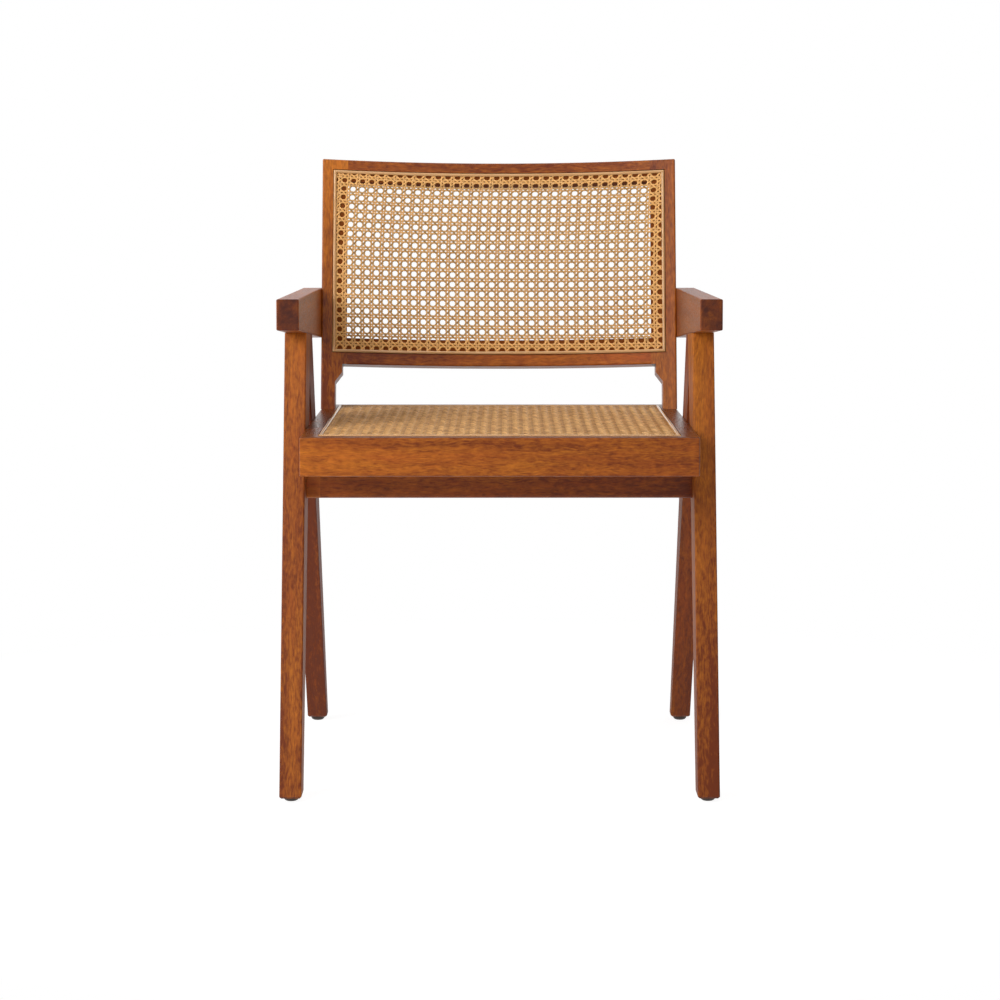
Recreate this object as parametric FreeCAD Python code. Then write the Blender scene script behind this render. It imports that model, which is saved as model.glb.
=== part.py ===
import FreeCAD, Part
import math
import os

# Cane armchair. Two side frames, each an armrest on a pair of legs set like a pair of compasses,
# carry a caned box seat and a bowed, caned back between them. Nothing on it moves.
# Lengths are millimetres. Seen from the front, +X is right and left is -X; -Y is the front, +Z is up.
# The origin lies on the floor, under the middle of the overall width and depth.

V = FreeCAD.Vector

# Overall sizes
overall_width = 543.0            # over the outer faces of the two side frames
leg_spread = 526.5               # toe of the front legs to heel of the rear legs
seat_height = 453.0              # floor to the top of the seat frame
arm_rise = 167.6                 # seat to the top of the armrests, at their front
back_rise = 342.0                # seat to the top front edge of the back

# Side frames
board = 27.5                     # thickness of legs and armrests
front_foot_depth = 39.5
front_head_setback = 140.5       # seat front to the front edge of the front leg, at the arm
front_head_depth = 77.0
rear_foot_depth = 27.5
rear_head_setback = 236.0        # seat front to the back edge of the rear leg, at the arm
rear_head_depth = 87.5
foot_chamfer = 2.5
arm_front_setback = 10.0         # seat front to the front end of the arm
arm_front_depth = 38.0
arm_rear_depth = 69.4
arm_fall = 4.0                   # rear end of the arm's top, below its front
arm_end_inset = 6.0              # rear end of the arm, short of the back of the stile

# Seat
seat_depth = 483.0
seat_rail_height = 48.0
seat_rail_width = 46.0
seat_margin = 21.0               # bare wood outside the cane's groove
corner_block_leg = 45.0
corner_block_height = 22.0
corner_block_rise = 5.0          # above the underside of the rails

# Back
back_tilt = 12.0                 # degrees, leaning backwards
back_inset = 50.5                # back of the stile to the back of the seat, on the seat
back_sag = 30.0                  # depth of the bow across the full width
back_thickness = 28.0
back_gap = 62.2                  # seat to the underside of the bottom rail
top_rail_height = 30.0
bottom_rail_height = 36.5
stile_width = 35.0
stile_neck = 28.5                # width just below the bottom rail
stile_foot = 19.0                # width where it stands on the seat, outside the cane
stile_neck_length = 11.5
stile_bevel_length = 13.0        # from the neck down to the foot's width
back_side_margin = 14.5          # bare wood outside the cane's groove
back_top_margin = 14.0
back_bottom_margin = 15.7

# Cane and the splines that wedge it into its grooves
cane_thickness = 2.0
spline_width = 5.0
spline_proud = 0.8
groove_depth = 8.0

# Stretchers under the seat
stretcher_height = 41.0
stretcher_thickness = 24.0
front_stretcher_inset = 30.0     # behind the front edge of the front leg
stretcher_round = 4.0

# Glides
glide_height = 6.0
glide_width = 19.0
glide_land = 9.0                 # flat bottom of the dome
nail_width = 2.4
nail_length = 17.0
nail_head_width = 6.0
nail_head_height = 1.0
nail_cover = 2.0                 # plastic under the nail's head

# Dowels, bolts and screws
dowel_width = 8.0
dowel_length = 38.0
dowel_spacing = 16.0
bolt_width = 6.0
bolt_length = 55.0
bolt_head_width = 10.0
bolt_head_height = 6.0
bolt_socket = 5.0                # across the flats
bolt_socket_depth = 3.0
bolt_recess = 10.0
washer_width = 12.0
washer_thickness = 1.6
screw_width = 4.0
screw_length = 28.0
screw_head_width = 8.0
screw_head_height = 3.0
screw_web = 8.0                  # wood of the corner block under the screw's head

# General
arris = 2.0                      # rounding of the wood's edges
clearance = 0.1                  # round a dowel, bolt, nail or screw
hole_end = 1.0                   # spare depth of a blind hole
overrun = 5.0                    # past a face that a cut goes through
touch = 0.01                     # two places nearer than this are the same

# Shares of the size that each one follows
long_edge_share = 0.5
neck_shares = (0.3, 0.56)        # dowels along the joint of the two legs
arm_dowel_shares = (0.3, 0.7)    # dowels up the joint of the arm and the stile
front_head_share = 0.4           # dowel across the head of the front leg
rear_head_share = 0.6            # dowel across the head of the rear leg
block_screw_share = 0.66         # screw along each leg of a corner block
dome_rise_share = 0.35           # height and width of a point on the glide's dome
dome_spread_share = 0.85
cane_open_share = 0.54           # each opening of the cane's grid, of its cell along either side

# Openings of the cane's grid, across and along each panel
seat_across_count = 12
seat_along_count = 12
back_across_count = 12
back_up_count = 6

# Places worked out from the sizes
side_out = overall_width / 2
side_in = side_out - board
side_middle = side_out - board / 2
arm_height = seat_height + arm_rise
seat_bottom = seat_height - seat_rail_height
seat_middle_height = seat_height - seat_rail_height / 2
rail_inner_x = side_in - seat_rail_width
rail_middle_x = side_in - seat_rail_width / 2
head_height = arm_height - arm_front_depth
leg_bottom = glide_height
heel_height = leg_bottom + foot_chamfer
tilt = math.radians(back_tilt)
back_length = back_rise / math.cos(tilt)
back_rail_low = back_gap / math.cos(tilt)
back_rail_top = back_rail_low + bottom_rail_height
top_rail_low = back_length - top_rail_height
bow_radius = (side_in ** 2 + back_sag ** 2) / (2 * back_sag)
stile_inner_x = side_in - stile_width
socket_sides = 6

nodes = {}


# Shapes

def block(xs, ys, zs):
    """A box between a low and a high place along each axis."""
    return Part.makeBox(xs[1] - xs[0], ys[1] - ys[0], zs[1] - zs[0], V(xs[0], ys[0], zs[0]))


def prism(points, travel):
    """A closed outline carried along a straight travel."""
    return Part.Face(Part.makePolygon(points + points[:1])).extrude(travel)


def side_prism(outline):
    """An outline of (y, z) points as thick as the board, on the right side frame."""
    return prism([V(side_in, y, z) for y, z in outline], V(board, 0, 0))


def rod(width, start, end):
    """A round bar from one point to another."""
    return Part.makeCylinder(width / 2, (end - start).Length, start, end - start)


def meet(first, second):
    """The (y, z) point where two lines cross, each given by two of its points."""
    (ay, az), (by, bz) = first
    (cy, cz), (dy, dz) = second
    turn = (by - ay) * (dz - cz) - (bz - az) * (dy - cy)
    along = ((cy - ay) * (dz - cz) - (cz - az) * (dy - cy)) / turn
    return (ay + along * (by - ay), az + along * (bz - az))


def between(start, end, share):
    """The (y, z) point at a share of the way from one point to another."""
    return (start[0] + share * (end[0] - start[0]), start[1] + share * (end[1] - start[1]))


def at_height(z, line):
    """The y of a line at a height."""
    return meet(line, ((seat_front, z), (seat_back, z)))[0]


def ease(shape, radius, chosen):
    """The shape with the chosen edges rounded."""
    return shape.makeFillet(radius, [edge for edge in shape.Edges if chosen(edge)])


def mirrored(shape):
    """The same shape on the other side of the chair."""
    return shape.mirror(V(0, 0, 0), V(1, 0, 0))


def dowel(centre, direction):
    """A dowel across a joint face at centre."""
    reach = V(direction).normalize() * (dowel_length / 2)
    return rod(dowel_width, centre - reach, centre + reach)


def dowel_hole(centre, direction):
    """The hole that a dowel at centre stands in."""
    reach = V(direction).normalize() * (dowel_length / 2 + hole_end)
    return rod(dowel_width + 2 * clearance, centre - reach, centre + reach)


def mitred_strips(half, low, high):
    """Four strips of the spline's width inside a rectangle: low, right, high and left, mitred."""
    outer = [(-half, low), (half, low), (half, high), (-half, high)]
    inset = [(1, 1), (-1, 1), (-1, -1), (1, -1)]
    inner = [(u + a * spline_width, w + b * spline_width) for (u, w), (a, b) in zip(outer, inset)]
    turn = [1, 2, 3, 0]
    return [(outer[i], outer[turn[i]], inner[turn[i]], inner[i]) for i in range(len(turn))]


def grid_spans(low, high, count):
    """The low and high place of each opening in a row of like cells."""
    cell = (high - low) / count
    starts = [low + cell * (i + (1 - cane_open_share) / 2) for i in range(count)]
    return [(start, start + cane_open_share * cell) for start in starts]


def add_pair(name, shape):
    """The same piece on both sides of the chair, as two nodes."""
    nodes["right_" + name] = [shape]
    nodes["left_" + name] = [mirrored(shape)]


def both_sides(shapes):
    """A group of like solids with its mirror image."""
    return shapes + [mirrored(shape) for shape in shapes]


# The back's own frame: x across, y backwards from the stile's front corner, z up along the stile

def bow(depth, x):
    """How far back the bowed surface lies at x, when it lies depth behind the front face."""
    return math.sqrt((bow_radius + depth) ** 2 - x ** 2) - (bow_radius - back_sag)


def square_x(depth, x):
    """Where a line through x on the front face, square to the bow, comes out at a depth."""
    return x * (bow_radius + depth) / bow_radius


def bowed_slab(depths, xs, zs, square=(False, False)):
    """A slab that follows the bow between two depths, each end cut square to the bow or along Y."""
    def arc(depth):
        left, right = [square_x(depth, x) if cut else x for x, cut in zip(xs, square)]
        middle = (left + right) / 2
        return Part.Arc(*[V(x, bow(depth, x), zs[0]) for x in (left, middle, right)]).toShape()

    front, rear = arc(depths[0]), arc(depths[1])
    ends = [Part.makeLine(front.firstVertex().Point, rear.firstVertex().Point),
            Part.makeLine(front.lastVertex().Point, rear.lastVertex().Point)]
    outline = Part.Wire(Part.__sortEdges__([front, rear] + ends))
    return Part.Face(outline).extrude(V(0, 0, zs[1] - zs[0]))


def front_outline(points):
    """An outline of (x, z) points on the back, carried right through it."""
    reach = back_sag + back_thickness + overrun
    return prism([V(x, -overrun, z) for x, z in points], V(0, reach + overrun, 0))


# Depths: the toe lies plumb under the seat's front, and the heel or the back's top reaches furthest back
stile_back = bow(back_thickness, side_in)
back_setback = seat_depth - back_inset - stile_back / math.cos(tilt)
top_depth = back_sag + back_thickness - arris
top_reach = top_depth * math.cos(tilt) + (back_length - arris) * math.sin(tilt) + arris
overall_depth = max(leg_spread, back_setback + top_reach)
seat_front = -overall_depth / 2
seat_back = seat_front + seat_depth
arm_front = seat_front + arm_front_setback
back_front = seat_front + back_setback
back_frame = FreeCAD.Placement(V(0, back_front, seat_height), FreeCAD.Rotation(V(1, 0, 0), -back_tilt))


def in_place(shape):
    """A shape of the back, carried from the back's own frame to the chair's."""
    return shape.transformed(back_frame.toMatrix())


def back_point(y, z):
    """The chair's (y, z) of a point in the back's own frame."""
    place = back_frame.multVec(V(0, y, z))
    return (place.y, place.z)


# Lines of the side frame, as (y, z) points

def leg_line(foot_y, head_y):
    """The line of a leg's edge, from just above the foot's chamfer to the height of the arm's front."""
    return ((foot_y, heel_height), (head_y, head_height))


toe = seat_front
front_head = seat_front + front_head_setback
heel = toe + leg_spread
rear_head = seat_front + rear_head_setback
front_leg_front = leg_line(toe, front_head)
front_leg_back = leg_line(toe + front_foot_depth, front_head + front_head_depth)
rear_leg_front = leg_line(heel - rear_foot_depth, rear_head - rear_head_depth)
rear_leg_back = leg_line(heel, rear_head)
arm_top = ((arm_front, arm_height), (seat_back, arm_height - arm_fall))
arm_end_y = stile_back - arm_end_inset
arm_end = (back_point(arm_end_y, 0), back_point(arm_end_y, back_length))
arm_end_top = meet(arm_top, arm_end)
under_arm = ((arm_front, head_height), (arm_end_top[0], arm_end_top[1] - arm_rear_depth))
crotch = meet(front_leg_back, rear_leg_front)
front_head_front = meet(front_leg_front, under_arm)
neck_top = meet(front_leg_back, under_arm)
rear_head_back = meet(rear_leg_back, under_arm)

# Side frames

def leg(outline):
    """A leg with the edges of its foot chamfered and its long edges rounded."""
    shape = side_prism(outline)
    foot = [edge for edge in shape.Edges if edge.BoundBox.ZMax < leg_bottom + touch]
    shape = shape.makeChamfer(foot_chamfer, foot)
    return ease(shape, arris, lambda edge: edge.Length > long_edge_share * head_height)


front_sole = [(at_height(leg_bottom, line), leg_bottom) for line in (front_leg_front, front_leg_back)]
rear_sole = [(at_height(leg_bottom, line), leg_bottom) for line in (rear_leg_front, rear_leg_back)]
front_leg = leg(front_sole + [neck_top, front_head_front])
rear_leg = leg(rear_sole + [rear_head_back, neck_top, crotch])

# Above the crotch the front leg keeps a square edge, where the rear leg lies flat against it
square_neck = [(crotch[0] - 2 * arris, crotch[1]), crotch, neck_top, (neck_top[0] - 2 * arris, neck_top[1])]
square_neck[3] = meet(under_arm, (square_neck[0], square_neck[3]))
front_leg = front_leg.fuse(side_prism(square_neck)).removeSplitter()

arm_outline = [(arm_front, arm_height), (arm_front, head_height), meet(under_arm, arm_end), arm_end_top]
armrest = side_prism(arm_outline)
armrest = ease(armrest, arris, lambda edge: edge.BoundBox.XLength < touch)

# Dowels that join the two legs of a side, each at right angles to the joint
neck_direction = V(0, neck_top[1] - crotch[1], crotch[0] - neck_top[0])
neck_places = [V(side_middle, *between(crotch, neck_top, share)) for share in neck_shares]
neck_holes = [dowel_hole(place, neck_direction) for place in neck_places]
nodes["leg_joint_dowels"] = both_sides([dowel(place, neck_direction) for place in neck_places])

# Dowels from the heads of the legs up into the armrest
upright = V(0, 0, 1)
head_places = [
    V(side_middle, *between(front_head_front, neck_top, front_head_share)),
    V(side_middle, *between(neck_top, rear_head_back, rear_head_share)),
]
head_holes = [dowel_hole(place, upright) for place in head_places]
nodes["arm_leg_dowels"] = both_sides([dowel(place, upright) for place in head_places])

# Dowels from the armrest across into the stile of the back
across = V(1, 0, 0)
arm_dowel_depth = (bow(groove_depth, side_in) + stile_back) / 2
stile_line = (back_point(arm_dowel_depth, 0), back_point(arm_dowel_depth, back_length))
arm_joint = (meet(under_arm, stile_line), meet(arm_top, stile_line))
arm_places = [V(side_in, *between(*arm_joint, share)) for share in arm_dowel_shares]
arm_holes = [dowel_hole(place, across) for place in arm_places]
nodes["arm_stile_dowels"] = both_sides([dowel(place, across) for place in arm_places])

# Stretchers between the legs, close under the seat
stretcher_zs = (seat_bottom - stretcher_height, seat_bottom)
stretcher_middle_height = sum(stretcher_zs) / 2
front_stretcher_y = at_height(stretcher_middle_height, front_leg_front) + front_stretcher_inset
rear_leg_spot = [at_height(stretcher_middle_height, line) for line in (rear_leg_front, rear_leg_back)]
rear_stretcher_y = sum(rear_leg_spot) / 2 - stretcher_thickness / 2


def stretcher(y):
    """A rail from leg to leg with its front face at y, and the dowels and holes of its right end."""
    def lower_edge(edge):
        return edge.Length > side_in and edge.BoundBox.ZMax < seat_bottom

    shape = block((-side_in, side_in), (y, y + stretcher_thickness), stretcher_zs)
    shape = ease(shape, stretcher_round, lower_edge)
    heights = [stretcher_middle_height + side * dowel_spacing / 2 for side in (-1, 1)]
    places = [V(side_in, y + stretcher_thickness / 2, height) for height in heights]
    holes = [dowel_hole(place, across) for place in places]
    return shape.cut(both_sides(holes)), [dowel(place, across) for place in places], holes


front_stretcher, front_pins, front_pin_holes = stretcher(front_stretcher_y)
rear_stretcher, rear_pins, rear_pin_holes = stretcher(rear_stretcher_y)
nodes["front_stretcher"] = [front_stretcher]
nodes["rear_stretcher"] = [rear_stretcher]
nodes["stretcher_dowels"] = both_sides(front_pins + rear_pins)

# Bolts from inside the seat's side rails into the legs, with washers, at the middle of each leg

def leg_middle(front_line, back_line, height):
    return (at_height(height, front_line) + at_height(height, back_line)) / 2


bolt_ys = [
    leg_middle(front_leg_front, front_leg_back, seat_middle_height),
    leg_middle(rear_leg_front, rear_leg_back, seat_middle_height),
]
washer_seat = rail_inner_x + bolt_recess
bolt_seat = washer_seat - washer_thickness


def bolt_spot(x, y):
    return V(x, y, seat_middle_height)


def bolt(y):
    """A cap bolt with a six-sided socket in its head, lying along X."""
    head_end = bolt_seat - bolt_head_height
    shank = rod(bolt_width, bolt_spot(bolt_seat, y), bolt_spot(bolt_seat + bolt_length, y))
    head = rod(bolt_head_width, bolt_spot(head_end, y), bolt_spot(bolt_seat, y))
    corner_radius = bolt_socket / math.sqrt(3)
    angles = [math.tau * i / socket_sides for i in range(socket_sides)]
    socket = [bolt_spot(head_end, y) + V(0, math.cos(a), math.sin(a)) * corner_radius for a in angles]
    return head.fuse(shank).removeSplitter().cut(prism(socket, V(bolt_socket_depth, 0, 0)))


def washer(y):
    ring = rod(washer_width, bolt_spot(bolt_seat, y), bolt_spot(washer_seat, y))
    bore_ends = [bolt_spot(x, y) for x in (bolt_seat - overrun, washer_seat + overrun)]
    return ring.cut(rod(bolt_width + 2 * clearance, *bore_ends))


def bolt_hole(y):
    """The recess for the head and washer, and the hole for the shank."""
    recess_width = washer_width + 2 * clearance
    recess = rod(recess_width, bolt_spot(rail_inner_x - overrun, y), bolt_spot(washer_seat, y))
    end = bolt_seat + bolt_length + hole_end
    return recess.fuse(rod(bolt_width + 2 * clearance, bolt_spot(bolt_seat, y), bolt_spot(end, y)))


bolt_holes = [bolt_hole(y) for y in bolt_ys]
nodes["leg_bolts"] = both_sides([bolt(y) for y in bolt_ys])
nodes["leg_bolt_washers"] = both_sides([washer(y) for y in bolt_ys])

# Glides: plastic domes nailed under the feet

def glide(y):
    """A dome with a flat land, turned about an upright axis, and hollow for the nail's head."""
    land, rim = V(glide_land / 2, 0, 0), V(glide_width / 2, 0, glide_height)
    belly = V(land.x + dome_spread_share * (rim.x - land.x), 0, dome_rise_share * glide_height)
    profile = [
        Part.makeLine(V(0, 0, 0), land),
        Part.Arc(land, belly, rim).toShape(),
        Part.makeLine(rim, V(0, 0, glide_height)),
        Part.makeLine(V(0, 0, glide_height), V(0, 0, 0)),
    ]
    dome = Part.Face(Part.Wire(profile)).revolve(V(0, 0, 0), V(0, 0, 1), 360)
    dome.translate(V(side_middle, y, 0))
    return dome.cut(nail_room(y))


def nail_parts(y, spare, spare_end):
    """The head and the shank of a nail, larger all round by spare and longer by spare_end."""
    head_low = V(side_middle, y, nail_cover)
    head_high = head_low + V(0, 0, nail_head_height)
    tip = head_low + V(0, 0, nail_length + spare_end)
    head = rod(nail_head_width + 2 * spare, head_low, head_high + V(0, 0, spare))
    return head.fuse(rod(nail_width + 2 * spare, head_low, tip)).removeSplitter()


def nail_room(y):
    return nail_parts(y, clearance, hole_end)


front_sole_y = (front_sole[0][0] + front_sole[1][0]) / 2
rear_sole_y = (rear_sole[0][0] + rear_sole[1][0]) / 2
add_pair("front_glide", glide(front_sole_y))
add_pair("rear_glide", glide(rear_sole_y))
nodes["glide_nails"] = both_sides([nail_parts(y, 0, 0) for y in (front_sole_y, rear_sole_y)])

# Legs and arms with their holes
front_holes = neck_holes + head_holes[:1] + front_pin_holes + bolt_holes[:1] + [nail_room(front_sole_y)]
rear_holes = neck_holes + head_holes[1:] + rear_pin_holes + bolt_holes[1:] + [nail_room(rear_sole_y)]
add_pair("front_leg", front_leg.cut(front_holes))
add_pair("rear_leg", rear_leg.cut(rear_holes))
add_pair("armrest", armrest.cut(head_holes + arm_holes))

# Seat frame: front and rear rails right across, side rails between them
seat_zs = (seat_bottom, seat_height)
front_rail_ys = (seat_front, seat_front + seat_rail_width)
rear_rail_ys = (seat_back - seat_rail_width, seat_back)
spline_half = side_in - seat_margin
spline_ys = (seat_front + seat_margin, seat_back - seat_margin)
cane_half = spline_half - spline_width
cane_ys = (spline_ys[0] + spline_width, spline_ys[1] - spline_width)
groove_floor = seat_height - groove_depth
cane_floor = seat_height - cane_thickness
over_seat = seat_height + overrun
inside_groove = block((-cane_half, cane_half), cane_ys, (groove_floor - overrun, over_seat + overrun))
seat_groove = block((-spline_half, spline_half), spline_ys, (groove_floor, over_seat)).cut(inside_groove)
seat_ledge = block((-cane_half, cane_half), cane_ys, (cane_floor, over_seat))


def cross_rail(ys, joint_y):
    """A rail across the seat, with every edge rounded that isn't on its joint face."""
    def off_joint(edge):
        return edge.BoundBox.YLength > touch or abs(edge.BoundBox.YMin - joint_y) > touch

    return ease(block((-side_in, side_in), ys, seat_zs), arris, off_joint)


def seat_dowel_places(y):
    heights = [seat_middle_height + side * dowel_spacing / 2 for side in (-1, 1)]
    return [V(rail_middle_x, y, height) for height in heights]


along = V(0, 1, 0)
rail_joints = (front_rail_ys[1], rear_rail_ys[0])
rail_holes = [[dowel_hole(place, along) for place in seat_dowel_places(y)] for y in rail_joints]
rail_pins = [dowel(place, along) for y in rail_joints for place in seat_dowel_places(y)]
nodes["seat_rail_dowels"] = both_sides(rail_pins)

# Corner blocks inside the seat frame, each with a screw into both of its rails
block_floor = seat_bottom + corner_block_rise
screw_height = block_floor + corner_block_height / 2
screw_reach = block_screw_share * corner_block_leg


def screw_parts(seat, direction, spare, room):
    """A screw whose head sits on the point seat; room is spare length above the head and past the tip."""
    way = V(direction).normalize()
    head = rod(screw_head_width + 2 * spare, seat - way * (screw_head_height + room), seat)
    end = screw_length + (hole_end if room else 0)
    return head.fuse(rod(screw_width + 2 * spare, seat, seat + way * end)).removeSplitter()


def corner_block(joint_y, inward):
    """The right block at a cross rail, where inward is the way along Y from that rail into the seat."""
    corner = V(rail_inner_x, joint_y, block_floor)
    legs = [corner, corner - V(corner_block_leg, 0, 0), corner + V(0, inward * corner_block_leg, 0)]
    shape = prism(legs, V(0, 0, corner_block_height))
    side_seat = V(rail_inner_x - screw_web, joint_y + inward * screw_reach, screw_height)
    cross_seat = V(rail_inner_x - screw_reach, joint_y + inward * screw_web, screw_height)
    spots = [(side_seat, V(1, 0, 0)), (cross_seat, V(0, -inward, 0))]
    screws = [screw_parts(seat, way, 0, 0) for seat, way in spots]
    holes = [screw_parts(seat, way, clearance, corner_block_leg) for seat, way in spots]
    return shape.cut(holes), screws, holes


front_block, front_screws, front_screw_holes = corner_block(rail_joints[0], 1)
rear_block, rear_screws, rear_screw_holes = corner_block(rail_joints[1], -1)
add_pair("front_corner_block", front_block)
add_pair("rear_corner_block", rear_block)
nodes["corner_block_screws"] = both_sides(front_screws + rear_screws)

# Dowels that stand the stiles on the side rails
stile_foot_x = side_in - stile_foot / 2
foot_depth = (bow(0, stile_foot_x) + bow(back_thickness, stile_foot_x)) / 2
stile_foot_place = V(stile_foot_x, back_front + foot_depth / math.cos(tilt), seat_height)
stile_foot_hole = dowel_hole(stile_foot_place, upright)
nodes["stile_foot_dowels"] = both_sides([dowel(stile_foot_place, upright)])

# Seat rails with their grooves, ledges and holes

def outer_long_edge(edge):
    return edge.BoundBox.XMin > side_in - touch and edge.BoundBox.YLength > touch


side_rail = ease(block((rail_inner_x, side_in), rail_joints, seat_zs), arris, outer_long_edge)
side_cuts = rail_holes[0] + rail_holes[1] + bolt_holes + [stile_foot_hole]
side_cuts += front_screw_holes[:1] + rear_screw_holes[:1]
add_pair("seat_side_rail", side_rail.cut([seat_groove, seat_ledge] + side_cuts))
front_cuts = [seat_groove, seat_ledge] + both_sides(rail_holes[0] + front_screw_holes[1:])
rear_cuts = [seat_groove, seat_ledge] + both_sides(rail_holes[1] + rear_screw_holes[1:])
nodes["seat_front_rail"] = [cross_rail(front_rail_ys, rail_joints[0]).cut(front_cuts)]
nodes["seat_rear_rail"] = [cross_rail(rear_rail_ys, rail_joints[1]).cut(rear_cuts)]

# Seat cane, held down all round by its splines: a sheet with a plain grid of openings between the rails
seat_cane = block((-cane_half, cane_half), cane_ys, (cane_floor, seat_height))
seat_openings = [
    block(xs, ys, (cane_floor - overrun, over_seat))
    for xs in grid_spans(-rail_inner_x, rail_inner_x, seat_across_count)
    for ys in grid_spans(*rail_joints, seat_along_count)
]
nodes["seat_cane"] = [seat_cane.cut(seat_openings)]
seat_spline_rise = V(0, 0, groove_depth + spline_proud)
seat_strips = mitred_strips(spline_half, *spline_ys)
for name, strip in zip(("front", "right", "rear", "left"), seat_strips):
    nodes["seat_spline_" + name] = [prism([V(x, y, groove_floor) for x, y in strip], seat_spline_rise)]

# Back: places of the cane and its splines in the back's own frame
back_spline_half = side_in - back_side_margin
back_spline_zs = (back_rail_low + back_bottom_margin, back_length - back_top_margin)
back_cane_half = back_spline_half - spline_width
back_cane_zs = (back_spline_zs[0] + spline_width, back_spline_zs[1] - spline_width)
full_xs = (-side_in, side_in)
full_zs = (-overrun, back_length + overrun)
groove_slab = bowed_slab((-overrun, groove_depth), full_xs, full_zs)
spline_slab = bowed_slab((-spline_proud, groove_depth), full_xs, full_zs)
back_strips = mitred_strips(back_spline_half, *back_spline_zs)
back_grooves = [front_outline(list(strip)).common(groove_slab) for strip in back_strips]
back_ledge = bowed_slab((-overrun, cane_thickness), (-back_cane_half, back_cane_half), back_cane_zs)
back_cuts = back_grooves + [back_ledge]
whole_thickness = (0, back_thickness)

for name, strip in zip(("bottom", "right", "top", "left"), back_strips):
    nodes["back_spline_" + name] = [in_place(front_outline(list(strip)).common(spline_slab))]
back_cane = bowed_slab((0, cane_thickness), (-back_cane_half, back_cane_half), back_cane_zs)
back_openings = [
    front_outline([(xs[0], zs[0]), (xs[1], zs[0]), (xs[1], zs[1]), (xs[0], zs[1])])
    for xs in grid_spans(-stile_inner_x, stile_inner_x, back_across_count)
    for zs in grid_spans(back_rail_top, top_rail_low, back_up_count)
]
nodes["back_cane"] = [in_place(back_cane.cut(back_openings))]

# Back rails and the dowels in their ends, which run along the bow
rail_dowel_depth = (groove_depth + back_thickness) / 2
rail_end_x = square_x(rail_dowel_depth, stile_inner_x)
rail_end_y = bow(rail_dowel_depth, rail_end_x)
rail_end_way = V(rail_end_y + bow_radius - back_sag, -rail_end_x, 0)


def back_rail(zs, round_z):
    """A bowed rail between the stiles, with its two long edges at round_z rounded."""
    def chosen(edge):
        return edge.Length > stile_inner_x and abs(edge.BoundBox.ZMin - round_z) < touch

    shape = bowed_slab(whole_thickness, (-stile_inner_x, stile_inner_x), zs, (True, True))
    shape = ease(shape, arris, chosen)
    heights = [(zs[0] + zs[1]) / 2 + side * dowel_spacing / 2 for side in (-1, 1)]
    places = [V(rail_end_x, rail_end_y, height) for height in heights]
    pins = [dowel(place, rail_end_way) for place in places]
    holes = [dowel_hole(place, rail_end_way) for place in places]
    return shape.cut(back_cuts + both_sides(holes)), pins, holes


top_rail, top_pins, top_holes = back_rail((top_rail_low, back_length), back_length)
bottom_rail, bottom_pins, bottom_holes = back_rail((back_rail_low, back_rail_top), back_rail_low)
nodes["back_top_rail"] = [in_place(top_rail)]
nodes["back_bottom_rail"] = [in_place(bottom_rail)]
nodes["back_rail_dowels"] = [in_place(pin) for pin in both_sides(top_pins + bottom_pins)]

# Stiles: wide beside the cane, necked below the bottom rail, narrow where they stand on the seat
neck_low = back_rail_low - stile_neck_length
foot_top = neck_low - stile_bevel_length
stile_low = -(back_sag + back_thickness) * math.tan(tilt)
neck_outline = [
    (side_in, stile_low),
    (side_in - stile_foot, stile_low),
    (side_in - stile_foot, foot_top),
    (side_in - stile_neck, neck_low),
    (side_in - stile_neck, back_rail_low),
    (side_in, back_rail_low),
]
neck_slab = bowed_slab(whole_thickness, (stile_inner_x, side_in), (stile_low, back_rail_low))
stile = bowed_slab(whole_thickness, (stile_inner_x, side_in), (back_rail_low, back_length), (True, False))
stile = stile.fuse(front_outline(neck_outline).common(neck_slab)).removeSplitter()


def stile_edge(edge):
    """The outer upright edges and the edges of the top, apart from the joint with the rail."""
    box = edge.BoundBox
    outer = box.XMin > side_in - touch and box.ZLength > back_rail_low
    top = box.ZMin > back_length - touch and box.XMax > side_in - touch
    return outer or top


stile = in_place(ease(stile, arris, stile_edge).cut(back_cuts + top_holes + bottom_holes))
under_seat_top = block((0, overall_width), (seat_front, heel), (0, seat_height))
add_pair("back_stile", stile.cut([under_seat_top, stile_foot_hole] + arm_holes))

# Every node is one file of its solids
os.makedirs("parts", exist_ok=True)
for name, shapes in nodes.items():
    solids = [solid for shape in shapes for solid in shape.Solids]
    whole = solids[0] if len(solids) == 1 else Part.makeCompound(solids)
    whole.exportStep("parts/" + name + ".step")
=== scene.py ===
import math

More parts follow.
